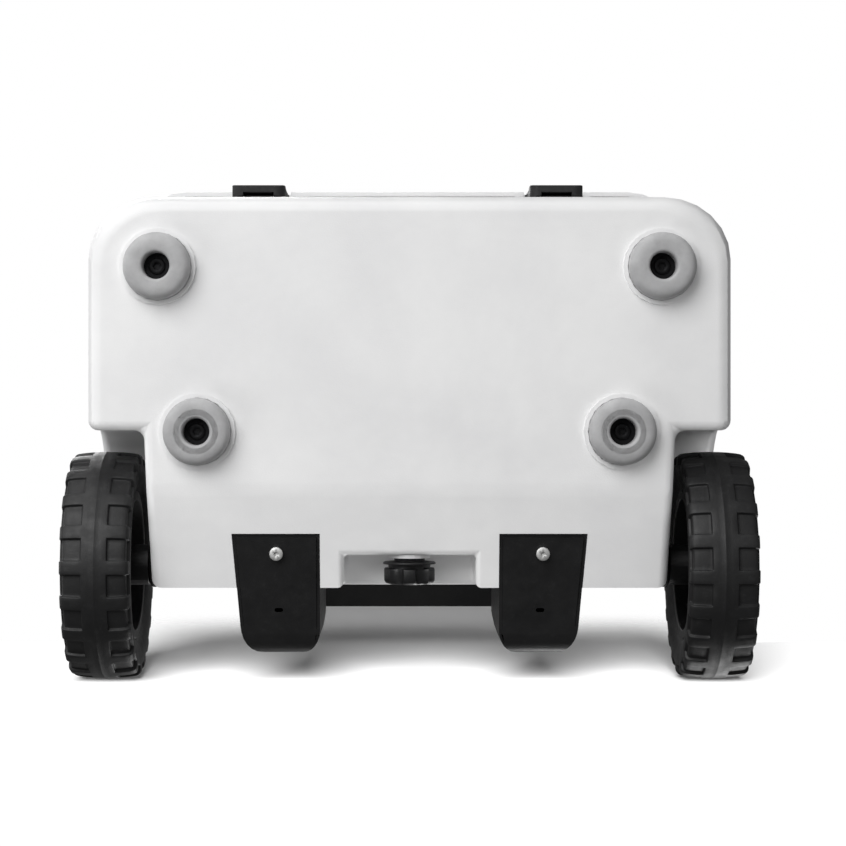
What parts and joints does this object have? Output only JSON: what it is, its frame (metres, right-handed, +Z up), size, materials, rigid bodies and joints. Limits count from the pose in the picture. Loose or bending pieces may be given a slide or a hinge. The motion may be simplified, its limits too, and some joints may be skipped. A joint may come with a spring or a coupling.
{
  "type": "wheeled cooler",
  "caption": "Hard-walled insulated cooler with a hinged lid, rubber latches, two rear wheels, a telescoping pull handle and a screw-in drain plug.",
  "frame": {"origin": "on the ground, under the middle of the cooler's box", "axes": "+Z up, +X to the right seen from the front, the latches face -Y and the wheels and pull handle are at +Y"},
  "size_m": [0.5624, 0.45, 0.52],
  "materials": {
    "white_shell": "satin",
    "white_liner": "satin",
    "foam": "matte",
    "seal_rubber": "matte",
    "foot_rubber": "matte",
    "latch_rubber": "matte",
    "black_plastic": "satin",
    "tyre_rubber": "matte",
    "steel": "satin",
    "black_aluminium": "satin",
    "bare_aluminium": "satin",
    "bush_plastic": "satin"
  },
  "bodies": {
    "cooler_body": {"outer_shell": "white_shell", "liner": "white_liner", "foam_core": "foam", "foot_front_left": "foot_rubber", "foot_screw_front_left": "steel", "foot_front_right": "foot_rubber", "foot_screw_front_right": "steel", "foot_rear_left": "foot_rubber", "foot_screw_rear_left": "steel", "foot_rear_right": "foot_rubber", "foot_screw_rear_right": "steel", "keeper_left": "black_plastic", "hinge_pin_left": "steel", "hinge_block_left": "white_shell", "axle_left": "steel", "axle_plate_left": "black_plastic", "handle_boot_left": "black_plastic", "boot_screw_left": "steel", "outer_tube_left": "black_aluminium", "housing_screw_left": "steel", "keeper_right": "black_plastic", "hinge_pin_right": "steel", "hinge_block_right": "white_shell", "axle_right": "steel", "axle_plate_right": "black_plastic", "handle_boot_right": "black_plastic", "boot_screw_right": "steel", "outer_tube_right": "black_aluminium", "housing_screw_right": "steel", "handle_housing": "black_plastic", "drain_bushing": "white_shell"},
    "lid": {"lid_outer": "white_shell", "lid_inner": "white_liner", "lid_foam": "foam", "lid_gasket": "seal_rubber", "latch_pin_left": "steel", "latch_pin_right": "steel", "lid_hinge_block_left": "white_shell", "lid_hinge_block_right": "white_shell"},
    "latch_left": {"latch_left": "latch_rubber"},
    "latch_right": {"latch_right": "latch_rubber"},
    "pull_handle": {"inner_tube_left": "bare_aluminium", "inner_tube_right": "bare_aluminium", "handle_grip": "black_plastic", "button_spring": "steel"},
    "middle_stage_left": {"middle_tube_left": "bare_aluminium"},
    "middle_stage_right": {"middle_tube_right": "bare_aluminium"},
    "release_button": {"release_button": "black_plastic"},
    "wheel_left": {"tyre_left": "tyre_rubber", "wheel_hub_left": "black_plastic", "hub_cap_left": "black_plastic", "axle_bush_left": "bush_plastic"},
    "wheel_right": {"tyre_right": "tyre_rubber", "wheel_hub_right": "black_plastic", "hub_cap_right": "black_plastic", "axle_bush_right": "bush_plastic"},
    "drain_carrier": {"drain_gasket": "seal_rubber"},
    "drain_plug": {"drain_plug": "black_plastic"}
  },
  "joints": [
    {"name": "lid_hinge", "type": "hinge", "parent": "cooler_body", "child": "lid", "pos_m": [0, 0.152, 0.4565], "axis": [-1, 0, 0], "range_deg": [0, 100]},
    {"name": "latch_left_pivot", "type": "hinge", "parent": "lid", "child": "latch_left", "pos_m": [-0.146, -0.215, 0.488], "axis": [-1, 0, 0], "range_deg": [0, 110]},
    {"name": "latch_right_pivot", "type": "hinge", "parent": "lid", "child": "latch_right", "pos_m": [0.146, -0.215, 0.488], "axis": [-1, 0, 0], "range_deg": [0, 110]},
    {"name": "handle_slide", "type": "slide", "parent": "cooler_body", "child": "pull_handle", "axis": [0, 0, -1], "range_m": [-0.47, 0]},
    {"name": "middle_slide_left", "type": "slide", "parent": "cooler_body", "child": "middle_stage_left", "axis": [0, 0, -1], "range_m": [-0.2355, 0.0005]},
    {"name": "middle_slide_right", "type": "slide", "parent": "cooler_body", "child": "middle_stage_right", "axis": [0, 0, -1], "range_m": [-0.2355, 0.0005]},
    {"name": "button_press", "type": "slide", "parent": "pull_handle", "child": "release_button", "axis": [0, 0, -1], "range_m": [0, 0.004], "stiffness_N_per_m": 700, "springref_m": -0.002, "deforming": ["button_spring"]},
    {"name": "wheel_left_spin", "type": "hinge", "parent": "cooler_body", "child": "wheel_left", "pos_m": [-0.25289, 0.13, 0.095], "axis": [1, 0, 0], "continuous": true},
    {"name": "wheel_right_spin", "type": "hinge", "parent": "cooler_body", "child": "wheel_right", "pos_m": [0.25289, 0.13, 0.095], "axis": [1, 0, 0], "continuous": true},
    {"name": "drain_slide", "type": "slide", "parent": "cooler_body", "child": "drain_carrier", "axis": [0, 1, 0], "range_m": [0, 0.0101]},
    {"name": "drain_turn", "type": "hinge", "parent": "drain_carrier", "child": "drain_plug", "pos_m": [0, 0.135, 0.05], "axis": [0, 1, 0], "range_deg": [0, 900]}
  ],
  "couplings": [
    {"joint": "middle_slide_left", "follows": "handle_slide", "ratio": 0.5},
    {"joint": "middle_slide_right", "follows": "handle_slide", "ratio": 0.5},
    {"joint": "drain_slide", "follows": "drain_turn", "m_per_rad": 0.00063662}
  ]
}
